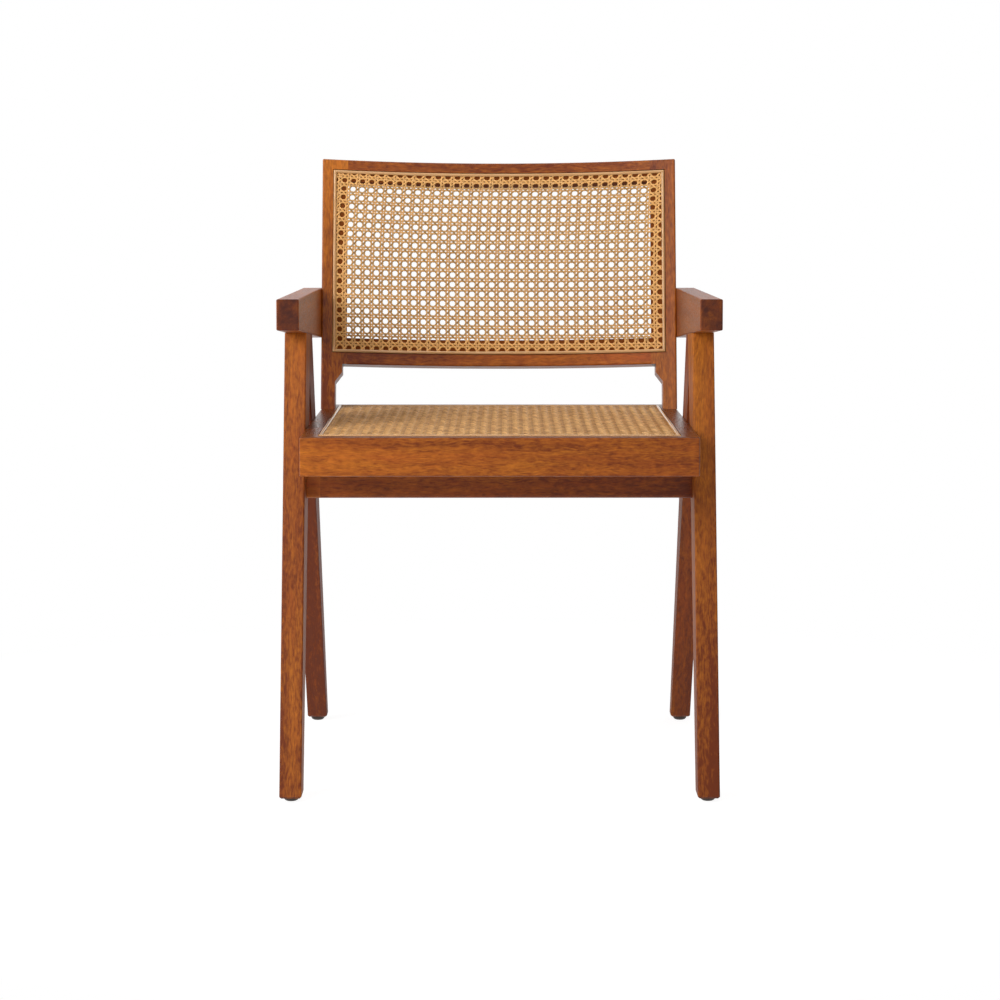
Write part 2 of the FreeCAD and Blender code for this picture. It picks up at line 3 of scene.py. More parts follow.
import bpy
import numpy as np
from bpy.props import FloatProperty, PointerProperty, StringProperty
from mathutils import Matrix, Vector


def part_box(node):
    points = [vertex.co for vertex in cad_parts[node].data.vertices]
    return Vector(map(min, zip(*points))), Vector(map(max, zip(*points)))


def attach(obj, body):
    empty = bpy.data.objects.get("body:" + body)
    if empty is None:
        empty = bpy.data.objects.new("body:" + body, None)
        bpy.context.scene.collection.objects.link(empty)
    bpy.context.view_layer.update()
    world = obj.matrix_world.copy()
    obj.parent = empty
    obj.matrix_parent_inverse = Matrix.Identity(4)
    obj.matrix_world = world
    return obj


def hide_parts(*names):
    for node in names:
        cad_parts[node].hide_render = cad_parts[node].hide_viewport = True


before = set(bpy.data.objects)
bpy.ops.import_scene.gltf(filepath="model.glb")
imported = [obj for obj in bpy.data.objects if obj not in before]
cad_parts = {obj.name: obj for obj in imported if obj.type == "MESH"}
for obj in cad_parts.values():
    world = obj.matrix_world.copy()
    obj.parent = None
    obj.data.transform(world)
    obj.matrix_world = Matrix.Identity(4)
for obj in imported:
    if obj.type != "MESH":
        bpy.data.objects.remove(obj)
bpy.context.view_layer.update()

# Looks of a cane armchair: oiled hardwood on the frame's own solids, and new surfaces for the woven cane of
# the seat and the back and for the splines that hold it. Lengths are metres, in the frame's own axes:
# +X is right seen from the front, -Y is the front, +Z is up.

bl_info = {
    "name": "Cane armchair",
    "version": (1, 0, 0),
    "blender": (4, 5, 0),
    "location": "3D View > Sidebar > Armchair",
    "description": "Dresses the frame of a cane armchair in wood, woven cane and studio light",
    "category": "Object",
}

SEAT_LOW, SEAT_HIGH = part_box("seat_cane")


class ArmchairSizes(bpy.types.PropertyGroup):
    """Sizes of the caned panels, the same as the frame's where they meet it, and of marks in the wood"""
    back_tilt: FloatProperty(
        name="Back tilt", description="How far the back leans backwards",
        default=math.radians(12), subtype="ANGLE")
    back_sag: FloatProperty(
        name="Back sag", description="Depth of the bow across the full width of the back",
        default=0.030, unit="LENGTH")
    back_half: FloatProperty(
        name="Back half width", description="Middle of the back to the outside of a stile",
        default=0.244, unit="LENGTH")
    back_front: FloatProperty(
        name="Back front", description="Where the stiles' front corner stands on the seat, along Y",
        default=0.13698, unit="LENGTH")
    back_cane_half: FloatProperty(
        name="Back cane half width", description="Middle of the back to the edge of its cane",
        default=0.2245, unit="LENGTH")
    back_cane_low: FloatProperty(
        name="Back cane low edge", description="Seat to the low edge of the cane, along the stile",
        default=0.084290, unit="LENGTH")
    back_cane_high: FloatProperty(
        name="Back cane high edge", description="Seat to the high edge of the cane, along the stile",
        default=0.330640, unit="LENGTH")
    cane_depth: FloatProperty(
        name="Cane depth", description="Middle of the weave below the face of the wood",
        default=0.0010, unit="LENGTH", precision=5)
    strand_width: FloatProperty(
        name="Strand width", description="Width of an upright or cross strand",
        default=0.0021, unit="LENGTH", precision=5)
    strand_thickness: FloatProperty(
        name="Strand thickness", description="Thickness of the back's strands",
        default=0.00065, unit="LENGTH", precision=5)
    seat_thickness: FloatProperty(
        name="Seat strand thickness", description="Thickness of the seat's heavier strands",
        default=0.0009, unit="LENGTH", precision=5)
    pair_gap: FloatProperty(
        name="Pair gap", description="Mean gap between the two strands of a pair",
        default=0.0014, unit="LENGTH", precision=5)
    pair_spread: FloatProperty(
        name="Pair spread", description="How far each strand of a pair leans out where the diagonals pass",
        default=0.0004, unit="LENGTH", precision=5)
    diagonal_width: FloatProperty(
        name="Diagonal width", description="Width of a diagonal strand",
        default=0.0019, unit="LENGTH", precision=5)
    seat_pitch: FloatProperty(
        name="Seat pitch", description="Distance between pairs of strands of the seat",
        default=0.0134, unit="LENGTH", precision=5)
    column_pitch: FloatProperty(
        name="Column pitch", description="Distance between pairs of uprights in the middle of the back",
        default=0.013725, unit="LENGTH", precision=6)
    row_pitch: FloatProperty(
        name="Row pitch", description="Distance between pairs of crosses in the middle of the back",
        default=0.013245, unit="LENGTH", precision=6)
    weave_side: FloatProperty(
        name="Weave side", description="Middle of the back's weave, to the right of the middle of the back",
        default=-0.0025, unit="LENGTH", precision=5)
    weave_height: FloatProperty(
        name="Weave height", description="Middle of the back's weave, up from the seat along the stile",
        default=0.2177, unit="LENGTH", precision=5)
    column_lean: FloatProperty(
        name="Column lean", description="How far the uprights lean to the right, from the middle to the top",
        default=0.0033, unit="LENGTH", precision=5)
    column_bow: FloatProperty(
        name="Column bow", description="How far the uprights bow to the right at the top and bottom",
        default=0.0032, unit="LENGTH", precision=5)
    column_stretch: FloatProperty(
        name="Column stretch", description="How far both sides of the weave are drawn to the right",
        default=0.0043, unit="LENGTH", precision=5)
    column_crowd: FloatProperty(
        name="Column crowding", description="How far both sides of the weave are pushed in",
        default=0.0036, unit="LENGTH", precision=5)
    row_sag: FloatProperty(
        name="Row sag", description="How far the top and bottom of the weave are drawn down",
        default=0.0043, unit="LENGTH", precision=5)
    row_crowd: FloatProperty(
        name="Row crowding", description="How far the top and bottom of the weave are pushed in",
        default=0.0042, unit="LENGTH", precision=5)
    row_turn: FloatProperty(
        name="Row turn", description="How far the crosses fall, from the middle to the right",
        default=0.0010, unit="LENGTH", precision=5)
    row_bow: FloatProperty(
        name="Row bow",
        description="How far the crosses rise at both sides, more at the top than at the bottom",
        default=0.0010, unit="LENGTH", precision=5)
    tuck: FloatProperty(
        name="Tuck", description="How far the strands run on under the spline",
        default=0.002, unit="LENGTH", precision=5)
    spline_width: FloatProperty(
        name="Spline width", description="Width of the groove that the spline fills",
        default=0.005, unit="LENGTH", precision=5)
    spline_gap: FloatProperty(
        name="Spline gap", description="Gap between the spline and the outer wall of its groove",
        default=0.0009, unit="LENGTH", precision=5)
    spline_rise: FloatProperty(
        name="Spline rise", description="Height of the spline's crown above the wood",
        default=0.0012, unit="LENGTH", precision=5)
    pale_border: FloatProperty(
        name="Pale border", description="Width of the paler border of the back's cane",
        default=0.019, unit="LENGTH", precision=5)
    # Painted light: a patch of light at the left end of the front stretcher, drawn as paler wood
    painted_light_end_length: FloatProperty(
        name="Painted light end length", description="Length of paler wood at the left end of the front stretcher",
        default=0.0175, unit="LENGTH", precision=5)
    spline_root: FloatProperty(
        name="Spline root", description="Depth of the spline in its groove",
        default=0.004, unit="LENGTH", precision=5)


class ArmchairColours(bpy.types.PropertyGroup):
    """Colours of the materials, as sRGB hex values"""
    wood_light: StringProperty(
        name="Wood, light", description="Light bands of the hardwood", default="C8741F")
    wood_red: StringProperty(
        name="Wood, red", description="Light bands of redder boards", default="AE541A")
    wood_dark: StringProperty(
        name="Wood, dark", description="Dark bands of the hardwood", default="6E2D0A")
    wood_pore: StringProperty(
        name="Wood, pores", description="Pores of the hardwood", default="451D08")
    wood_end: StringProperty(
        name="Wood, end grain", description="End grain of the hardwood", default="431F17")
    # Painted shade on the back's wood under its cane, for the shade behind the cane
    wood_painted_shade: StringProperty(
        name="Wood, under cane", description="Hardwood under the back's cane", default="743A0E")
    cane_light: StringProperty(name="Cane, light", description="Light pairs of strands", default="E6B474")
    cane_dark: StringProperty(name="Cane, dark", description="Dark pairs of strands", default="BE8849")
    diagonal_light: StringProperty(name="Diagonal, light", description="Light diagonals", default="BE965E")
    diagonal_dark: StringProperty(name="Diagonal, dark", description="Dark diagonals", default="886838")
    cane_pale: StringProperty(
        name="Cane, pale", description="Cane of the back near its border", default="FFC070")
    seat_light: StringProperty(
        name="Seat cane, light", description="Light pairs of the seat", default="DAA86C")
    seat_dark: StringProperty(
        name="Seat cane, dark", description="Dark pairs of the seat", default="8E6236")
    seat_cross_light: StringProperty(
        name="Seat diagonal, light", description="Light diagonals of the seat", default="E6B678")
    seat_cross_dark: StringProperty(
        name="Seat diagonal, dark", description="Dark diagonals of the seat", default="A07040")
    spline: StringProperty(name="Spline", description="Reed of the splines", default="D8AC7C")
    dowel: StringProperty(name="Dowel", description="Beech of the dowels", default="D8B48A")
    glide: StringProperty(name="Glide", description="Plastic of the glides", default="3A2A20")
    zinc: StringProperty(
        name="Zinc", description="Plating of bolts, washers, screws and nails", default="C8C8C2")
    floor: StringProperty(name="Floor", description="Studio floor", default="E2E2DF")


class ArmchairStudio(bpy.types.PropertyGroup):
    """Camera and lamps of the studio"""
    camera_back: FloatProperty(
        name="Camera distance", description="Camera in front of the chair's middle",
        default=3.4585, unit="LENGTH")
    camera_height: FloatProperty(
        name="Camera height", description="Camera above the floor",
        default=0.7612, unit="LENGTH")
    camera_pitch: FloatProperty(
        name="Camera pitch", description="How far the camera looks down",
        default=math.radians(5), subtype="ANGLE")
    camera_side: FloatProperty(
        name="Camera side", description="Camera to the right of the chair's middle",
        default=-0.0067, unit="LENGTH", precision=4)
    camera_yaw: FloatProperty(
        name="Camera yaw", description="How far the camera turns to the left",
        default=math.radians(-0.128), subtype="ANGLE")
    lens: FloatProperty(
        name="Lens", description="Focal length for a 36 mm wide frame, in millimetres",
        default=94.93)
    shift: FloatProperty(
        name="Shift", description="Frame moved up, as a share of its width",
        default=-0.0862)
    key: FloatProperty(
        name="Key lamp", description="Large lamp at the front left", default=41.0, unit="POWER")
    fill: FloatProperty(
        name="Fill lamp", description="Large lamp at the front right", default=5.5, unit="POWER")
    top: FloatProperty(
        name="Top lamp", description="Large lamp overhead", default=17.0, unit="POWER")
    # Painted light: the floor's glow, standing in for the light it throws back up
    glow: FloatProperty(
        name="Floor glow", description="Light that the lit floor throws back up", default=0.2)
    room: FloatProperty(name="Room light", description="Strength of the light from the room", default=0.12)


def linear(hex_value):
    """An sRGB hex value as linear colour with alpha: ((c + 0.055) / 1.055) ** 2.4 above the straight toe."""
    srgb = np.array([int(hex_value[i:i + 2], 16) for i in (0, 2, 4)]) / 255
    value = np.where(srgb <= 0.04045, srgb / 12.92, ((srgb + 0.055) / 1.055) ** 2.4)
    return (*value.tolist(), 1.0)


def add(tree, kind, inputs=None, **settings):
    """Adds a node. Settings go on the node itself, and each input gets a value, or a link if it is given a
    socket or a node, which then lends its first output."""
    node = tree.nodes.new(kind)
    for name, value in settings.items():
        setattr(node, name, value)
    for key, value in (inputs or {}).items():
        source = value.outputs[0] if isinstance(value, bpy.types.Node) else value
        if isinstance(source, bpy.types.NodeSocket):
            tree.links.new(source, node.inputs[key])
        else:
            node.inputs[key].default_value = source
    return node


def new_material(name):
    """An empty node material, and its tree."""
    material = bpy.data.materials.new(name)
    material.use_nodes = True
    material.node_tree.nodes.clear()
    return material, material.node_tree


def per_metre(along, across):
    """Repeats per metre of a pattern that is along mm long and across mm wide, for grain along X."""
    return (1000 / along, 1000 / across, 1000 / across)


def back_radius():
    """Radius of the back's bow, from its half width h and its sag s: (h * h + s * s) / (2 * s)."""
    sizes = bpy.context.scene.armchair_sizes
    return (sizes.back_half ** 2 + sizes.back_sag ** 2) / (2 * sizes.back_sag)


def under_cane(tree, coordinates):
    """Where the back's wood lies under its cane: 1 a little behind the bowed face and inside the edges of
    the cane, and 0 elsewhere. The depth is the distance from the bow's axis less its radius."""
    sizes = bpy.context.scene.armchair_sizes
    nearest, furthest = 0.001, 0.024
    radius, tilt, front, seat = back_radius(), sizes.back_tilt, sizes.back_front, SEAT_HIGH[2]
    upright = add(tree, "ShaderNodeMapping", {
        "Vector": coordinates, "Rotation": (tilt, 0, 0), "Location": (
            0, radius - sizes.back_sag - front * math.cos(tilt) + seat * math.sin(tilt),
            -front * math.sin(tilt) - seat * math.cos(tilt))})
    place = add(tree, "ShaderNodeSeparateXYZ", {0: upright})
    flat = add(tree, "ShaderNodeVectorMath", {0: upright, 1: (1, 1, 0)}, operation="MULTIPLY")
    reach = add(tree, "ShaderNodeVectorMath", {0: flat}, operation="LENGTH")
    behind = add(tree, "ShaderNodeMath", {
        0: reach.outputs["Value"], 1: radius + (nearest + furthest) / 2, 2: (furthest - nearest) / 2},
        operation="COMPARE")
    across = add(tree, "ShaderNodeMath", {
        0: place.outputs["X"], 1: 0.0, 2: sizes.back_cane_half}, operation="COMPARE")
    middle = (sizes.back_cane_low + sizes.back_cane_high) / 2
    up = add(tree, "ShaderNodeMath", {
        0: place.outputs["Z"], 1: middle, 2: middle - sizes.back_cane_low}, operation="COMPARE")
    inside = add(tree, "ShaderNodeMath", {0: across, 1: up}, operation="MULTIPLY")
    return add(tree, "ShaderNodeMath", {0: inside, 1: behind}, operation="MULTIPLY")


def hardwood(node, grain, tones, red, place, caned=False, painted_top_shade_and_polish=False, painted_light_end=0.0, dull=0.0):
    """Teak-coloured hardwood, sawn, sanded and oiled: fibres and dark pores run along the grain, a curly
    figure lights some patches more than others, boards run from gold to red, the end grain drinks the oil
    and is darker, and the sheen is satin. tones make the start and end of the board lighter, partly as its
    own tone and partly as painted light and shade; red is its share of red, and place sets its pattern apart
    from other boards'. A caned board has painted shade under its cane, and a seat board painted shade on its
    faces turned up, which are also polished. Its start can get a painted patch of light, as paler wood, and
    dull is how much rougher than satin it is left."""
    colours = bpy.context.scene.armchair_colours
    material, tree = new_material("oiled hardwood " + node.replace("_", " "))
    coordinates = add(tree, "ShaderNodeTexCoord")
    turn = Vector(grain).rotation_difference(Vector((1, 0, 0))).to_euler()
    apart = (0.83, 0.37, 0.59)
    lengthwise = add(tree, "ShaderNodeMapping", {
        "Vector": coordinates.outputs["Object"], "Rotation": turn,
        "Location": tuple(place * step for step in apart)})

    # The grain wanders some millimetres over a hand's length, and curls a little over a finger's
    wander = lengthwise
    for scale, sway in ((per_metre(170, 45), 0.012), (per_metre(32, 18), 0.007)):
        drift = add(tree, "ShaderNodeVectorMath", {0: lengthwise, 1: scale}, operation="MULTIPLY")
        drift = add(tree, "ShaderNodeTexNoise", {"Vector": drift, "Scale": 1.0, "Detail": 1.0})
        wander = add(tree, "ShaderNodeVectorMath", {
            0: drift.outputs["Color"], 1: (0.0, sway, sway), 2: wander}, operation="MULTIPLY_ADD")

    # Figure is bands 19 mm wide, curls are small patches across them, and redness is streaks as long as
    # a hand. Fibres are a tenth of a millimetre and pores a quarter; both are drawn coarser, to show
    patterns = {}
    for name, scale, detail, fineness in (
            ("figure", per_metre(500, 19), 3.0, 0.6), ("curls", per_metre(9, 4.5), 2.0, 0.6),
            ("redness", per_metre(180, 22), 4.0, 0.7), ("fibre", per_metre(14, 1.7), 2.0, 0.6),
            ("pores", per_metre(12, 1.4), 1.0, 0.5)):
        spot = add(tree, "ShaderNodeVectorMath", {0: wander, 1: scale}, operation="MULTIPLY")
        patterns[name] = add(tree, "ShaderNodeTexNoise", {
            "Vector": spot, "Scale": 1.0, "Detail": detail, "Roughness": fineness})
    redness = add(tree, "ShaderNodeMath", {
        0: patterns["redness"], 1: 2.6, 2: red - 1.3}, operation="MULTIPLY_ADD", use_clamp=True)
    pores = add(tree, "ShaderNodeMapRange", {
        "Value": patterns["pores"], "From Min": 0.55, "From Max": 0.75, "To Max": 0.35})

    # The tone drifts from one end of the board to the other, partly as the board's own tone and partly as
    # painted light and shade for the lamps' falloff, such as legs darker towards the floor. The middle of
    # each pattern is a half, so half of their strengths comes off the usual shade before they are added to
    # it
    usual_shade, strengths = 0.39, {"figure": 1.5, "curls": 0.9, "fibre": 1.1}
    base = usual_shade - sum(strengths.values()) / 2
    reach = np.array(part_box(node)) * np.array(grain)
    start, finish = float(reach.min(0).sum()), float(reach.max(0).sum())
    along = add(tree, "ShaderNodeVectorMath", {
        0: coordinates.outputs["Object"], 1: tuple(grain)}, operation="DOT_PRODUCT")
    shade = add(tree, "ShaderNodeMapRange", {
        "Value": along.outputs["Value"], "From Min": start, "From Max": finish,
        "To Min": base + tones[0], "To Max": base + tones[1]})
    for name, strength in strengths.items():
        shade = add(tree, "ShaderNodeMath", {
            0: patterns[name], 1: strength, 2: shade}, operation="MULTIPLY_ADD")
    # Painted light: a patch of light at the start of the board, drawn as paler wood
    if painted_light_end:
        painted_light_patch = add(tree, "ShaderNodeMath", {
            0: along.outputs["Value"], 1: start + painted_light_end}, operation="LESS_THAN")
        shade = add(tree, "ShaderNodeMath", {0: painted_light_patch, 1: shade}, operation="ADD")
    shade = add(tree, "ShaderNodeClamp", {"Value": shade})
    bright = add(tree, "ShaderNodeMix", {
        0: redness, 6: linear(colours.wood_light), 7: linear(colours.wood_red)}, data_type="RGBA")
    colour = add(tree, "ShaderNodeMix", {
        0: shade, 6: linear(colours.wood_dark), 7: bright.outputs[2]}, data_type="RGBA")
    colour = add(tree, "ShaderNodeMix", {
        0: pores, 6: colour.outputs[2], 7: linear(colours.wood_pore)}, data_type="RGBA")

    # End grain is where the face looks along the grain; some of the figure shows there too
    normal = add(tree, "ShaderNodeNewGeometry")
    end = add(tree, "ShaderNodeVectorMath", {
        0: normal.outputs["True Normal"], 1: tuple(grain)}, operation="DOT_PRODUCT")
    end = add(tree, "ShaderNodeMath", {0: end.outputs["Value"]}, operation="ABSOLUTE")
    end = add(tree, "ShaderNodeMapRange", {"Value": end, "From Min": 0.6, "From Max": 0.97})
    thirsty = add(tree, "ShaderNodeMath", {
        0: patterns["figure"], 1: -1.6, 2: 1.5}, operation="MULTIPLY_ADD", use_clamp=True)
    end = add(tree, "ShaderNodeMath", {0: end, 1: thirsty}, operation="MULTIPLY")
    colour = add(tree, "ShaderNodeMix", {
        0: end, 6: colour.outputs[2], 7: linear(colours.wood_end)}, data_type="RGBA")

    roughness = add(tree, "ShaderNodeMapRange", {
        "Value": patterns["fibre"], "From Min": 0.3, "From Max": 0.7,
        "To Min": 0.3 + dull, "To Max": 0.45 + dull})
    if painted_top_shade_and_polish:
        # Painted shade: faces turned up are darkened towards the pore colour; they are also polished, so
        # glossier
        top = add(tree, "ShaderNodeSeparateXYZ", {0: normal.outputs["True Normal"]})
        top = add(tree, "ShaderNodeMapRange", {
            "Value": top.outputs["Z"], "From Min": 0.3, "From Max": 0.7, "To Max": 0.65})
        colour = add(tree, "ShaderNodeMix", {
            0: top, 6: colour.outputs[2], 7: linear(colours.wood_pore)}, data_type="RGBA")
        roughness = add(tree, "ShaderNodeMath", {0: top, 1: -0.12, 2: roughness}, operation="MULTIPLY_ADD")
    if caned:
        # Painted shade darkens the wood under the cane, and it is dull, since it is never oiled again
        hidden = under_cane(tree, coordinates.outputs["Object"])
        colour = add(tree, "ShaderNodeMix", {
            0: hidden, 6: colour.outputs[2], 7: linear(colours.wood_painted_shade)}, data_type="RGBA")
        roughness = add(tree, "ShaderNodeMath", {0: roughness, 1: hidden}, operation="MAXIMUM")
    height = add(tree, "ShaderNodeMath", {
        0: pores, 1: -1.0, 2: patterns["fibre"]}, operation="MULTIPLY_ADD")
    bump = add(tree, "ShaderNodeBump", {"Height": height, "Strength": 0.25, "Distance": 0.0004})
    shader = add(tree, "ShaderNodeBsdfPrincipled", {
        "Base Color": colour.outputs[2], "Roughness": roughness, "Normal": bump, "IOR": 1.5,
        "Specular IOR Level": 0.28})
    add(tree, "ShaderNodeOutputMaterial", {"Surface": shader})
    return material


def near_border(tree, node, wide):
    """How near a point is to the border of a panel's box, seen from the front: 1 from the border to most of
    wide, and 0 from wide inwards. The distance is the lesser of those from the sides and from the ends."""
    full_share = 0.8
    low, high = np.array(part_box(node))
    half = (high - low) / 2
    coordinates = add(tree, "ShaderNodeTexCoord")
    place = add(tree, "ShaderNodeVectorMath", {
        0: coordinates.outputs["Object"], 1: tuple(low + half)}, operation="SUBTRACT")
    place = add(tree, "ShaderNodeVectorMath", {0: place}, operation="ABSOLUTE")
    inset = add(tree, "ShaderNodeVectorMath", {0: tuple(half), 1: place}, operation="SUBTRACT")
    inset = add(tree, "ShaderNodeSeparateXYZ", {0: inset})
    inset = add(tree, "ShaderNodeMath", {
        0: inset.outputs["X"], 1: inset.outputs["Z"]}, operation="MINIMUM")
    return add(tree, "ShaderNodeMapRange", {
        "Value": inset, "From Min": wide, "From Max": full_share * wide})


def rattan_skin(name, dark, light, mottle, panel=None, pale_share=0.0):
    """Peeled rattan skin, split and woven: smooth and glossy, straw-coloured, with strands a little lighter
    or darker than their neighbours, and slow changes along each strand, as strong as mottle. Near the border
    of an upright panel it is paler, by pale_share."""
    material, tree = new_material(name)
    strand = add(tree, "ShaderNodeUVMap", uv_map="strand")
    parts = add(tree, "ShaderNodeSeparateXYZ", {0: strand})
    number = add(tree, "ShaderNodeMath", {0: parts.outputs["Y"]}, operation="FLOOR")
    own = add(tree, "ShaderNodeTexWhiteNoise", {"W": number}, noise_dimensions="1D")
    # Changes 40 mm long along a strand, and fibres 0.25 mm wide, drawn half a strand wide, so that they show
    along = add(tree, "ShaderNodeVectorMath", {0: strand, 1: (25.0, 0.77, 0.0)}, operation="MULTIPLY")
    along = add(tree, "ShaderNodeTexNoise", {"Vector": along, "Scale": 1.0, "Detail": 2.0})
    fibre = add(tree, "ShaderNodeVectorMath", {0: strand, 1: (120.0, 5.0, 0.0)}, operation="MULTIPLY")
    fibre = add(tree, "ShaderNodeTexNoise", {"Vector": fibre, "Scale": 1.0, "Detail": 1.0})
    shade = add(tree, "ShaderNodeMath", {
        0: own.outputs["Value"], 1: 0.5, 2: 0.05 - mottle / 2}, operation="MULTIPLY_ADD")
    shade = add(tree, "ShaderNodeMath", {0: along, 1: mottle, 2: shade}, operation="MULTIPLY_ADD")
    shade = add(tree, "ShaderNodeMath", {
        0: fibre, 1: 0.5, 2: shade}, operation="MULTIPLY_ADD", use_clamp=True)
    colour = add(tree, "ShaderNodeMix", {0: shade, 6: linear(dark), 7: linear(light)}, data_type="RGBA")
    if panel:
        border = near_border(tree, panel, bpy.context.scene.armchair_sizes.pale_border)
        border = add(tree, "ShaderNodeMath", {0: border, 1: pale_share}, operation="MULTIPLY")
        pale = linear(bpy.context.scene.armchair_colours.cane_pale)
        colour = add(tree, "ShaderNodeMix", {0: border, 6: colour.outputs[2], 7: pale}, data_type="RGBA")
    roughness = add(tree, "ShaderNodeMapRange", {"Value": fibre, "To Min": 0.3, "To Max": 0.45})
    shader = add(tree, "ShaderNodeBsdfPrincipled", {
        "Base Color": colour.outputs[2], "Roughness": roughness, "IOR": 1.5, "Specular IOR Level": 0.35})
    add(tree, "ShaderNodeOutputMaterial", {"Surface": shader})
    return material


def reed(name):
    """Round reed, the core of rattan, soaked and pressed into its groove: pale, waxed and finely lined
    lengthwise."""
    colours = bpy.context.scene.armchair_colours
    material, tree = new_material(name)
    strand = add(tree, "ShaderNodeUVMap", uv_map="strand")
    # Lines 0.3 mm wide and 60 mm long, drawn 0.8 mm wide, so that they show
    lines = add(tree, "ShaderNodeVectorMath", {0: strand, 1: (16.0, 6.0, 0.0)}, operation="MULTIPLY")
    lines = add(tree, "ShaderNodeTexNoise", {"Vector": lines, "Scale": 1.0, "Detail": 2.0})
    shade = add(tree, "ShaderNodeMapRange", {
        "Value": lines, "From Min": 0.3, "From Max": 0.7, "To Min": 0.15, "To Max": 1.0})
    colour = add(tree, "ShaderNodeMix", {
        0: shade, 6: linear(colours.cane_dark), 7: linear(colours.spline)}, data_type="RGBA")
    bump = add(tree, "ShaderNodeBump", {"Height": lines, "Strength": 0.3, "Distance": 0.0003})
    shader = add(tree, "ShaderNodeBsdfPrincipled", {
        "Base Color": colour.outputs[2], "Roughness": 0.2, "Normal": bump, "IOR": 1.5})
    add(tree, "ShaderNodeOutputMaterial", {"Surface": shader})
    return material


def beech(name):
    """Beech dowel, turned and dry: pale, with short darker rays."""
    colours = bpy.context.scene.armchair_colours
    material, tree = new_material(name)
    coordinates = add(tree, "ShaderNodeTexCoord")
    # Rays 3 mm long
    rays = add(tree, "ShaderNodeTexNoise", {
        "Vector": coordinates.outputs["Object"], "Scale": 330.0, "Detail": 2.0})
    shade = add(tree, "ShaderNodeMapRange", {
        "Value": rays, "From Min": 0.5, "From Max": 0.8, "To Max": 0.6})
    colour = add(tree, "ShaderNodeMix", {
        0: shade, 6: linear(colours.dowel), 7: linear(colours.cane_dark)}, data_type="RGBA")
    shader = add(tree, "ShaderNodeBsdfPrincipled", {
        "Base Color": colour.outputs[2], "Roughness": 0.65, "IOR": 1.5})
    add(tree, "ShaderNodeOutputMaterial", {"Surface": shader})
    return material


def moulded_plastic(name):
    """Polypropylene glide, moulded and scuffed by the floor: dark brown, half dull, with fine pale
    scratches."""
    colours = bpy.context.scene.armchair_colours
    material, tree = new_material(name)
    coordinates = add(tree, "ShaderNodeTexCoord")
    # Scuffs 1 mm long
    scuffs = add(tree, "ShaderNodeTexNoise", {
        "Vector": coordinates.outputs["Object"], "Scale": 1000.0, "Detail": 3.0})
    shade = add(tree, "ShaderNodeMapRange", {
        "Value": scuffs, "From Min": 0.55, "From Max": 0.8, "To Max": 0.3})
    colour = add(tree, "ShaderNodeMix", {
        0: shade, 6: linear(colours.glide), 7: linear(colours.wood_end)}, data_type="RGBA")
    roughness = add(tree, "ShaderNodeMapRange", {"Value": scuffs, "To Min": 0.35, "To Max": 0.6})
    shader = add(tree, "ShaderNodeBsdfPrincipled", {
        "Base Color": colour.outputs[2], "Roughness": roughness, "IOR": 1.49})
    add(tree, "ShaderNodeOutputMaterial", {"Surface": shader})
    return material


def zinc_plate(name):
    """Zinc-plated steel: a soft grey metal whose plating varies a little in gloss."""
    colours = bpy.context.scene.armchair_colours
    material, tree = new_material(name)
    coordinates = add(tree, "ShaderNodeTexCoord")
    # Spangle 2 mm wide
    spangle = add(tree, "ShaderNodeTexNoise", {
        "Vector": coordinates.outputs["Object"], "Scale": 500.0, "Detail": 2.0})
    roughness = add(tree, "ShaderNodeMapRange", {"Value": spangle, "To Min": 0.25, "To Max": 0.5})
    shader = add(tree, "ShaderNodeBsdfPrincipled", {
        "Base Color": linear(colours.zinc), "Metallic": 1.0, "Roughness": roughness})
    add(tree, "ShaderNodeOutputMaterial", {"Surface": shader})
    return material


def dress(material, *nodes):
    """Gives CAD nodes a material in place of their own."""
    for name in nodes:
        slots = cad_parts[name].data.materials
        slots.clear()
        slots.append(material)


def tubes(points, keep):
    """Profiles carried along paths. points is (tube, sample, profile point, xyz) and keep says which samples
    of each tube are used. Each face joins two neighbours of the profile at two neighbouring samples, and
    the profile itself closes both ends, in quads from side to side. Gives the quads, as point numbers."""
    count = points.shape[2]
    number = np.arange(points[..., 0].size).reshape(points.shape[:3])
    run = keep[:, :-1] & keep[:, 1:]
    here, there = number[:, :-1][run], number[:, 1:][run]
    sides = np.stack([here, there, np.roll(there, -1, 1), np.roll(here, -1, 1)], -1).reshape(-1, 4)
    empty = np.zeros((len(keep), 1), bool)
    first = number[keep & ~np.hstack([empty, keep[:, :-1]])]
    last = number[keep & ~np.hstack([keep[:, 1:], empty])]
    low = np.arange(count // 2 - 1)
    caps = np.stack([low, low + 1, count - 2 - low, count - 1 - low], -1)
    return np.concatenate([sides, first[:, caps].reshape(-1, 4), last[:, caps[:, ::-1]].reshape(-1, 4)])


def new_piece(name, parts, material, slot, *nodes):
    """One object from parts, each of which is (points, keep, uv). It stands for the CAD nodes named."""
    points, quads, marks, offset = [], [], [], 0
    for part_points, keep, uv in parts:
        faces = tubes(part_points, keep)
        used, faces = np.unique(faces, return_inverse=True)
        points.append(part_points.reshape(-1, 3)[used])
        marks.append(uv.reshape(-1, 2)[used])
        quads.append(faces.reshape(-1, 4) + offset)
        offset += len(used)
    points, quads, marks = np.concatenate(points), np.concatenate(quads), np.concatenate(marks)
    mesh = bpy.data.meshes.new(name)
    mesh.from_pydata(points.tolist(), [], quads.tolist())
    layer = mesh.uv_layers.new(name="strand")
    layer.data.foreach_set("uv", marks[quads.ravel()].ravel().astype(np.float32))
    mesh.polygons.foreach_set("use_smooth", np.ones(len(quads), bool))
    mesh.set_sharp_from_angle(angle=math.radians(70))
    mesh.materials.append(material)
    piece = bpy.data.objects.new(name, mesh)
    bpy.context.scene.collection.objects.link(piece)
    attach(piece, "root")
    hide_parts(*nodes)


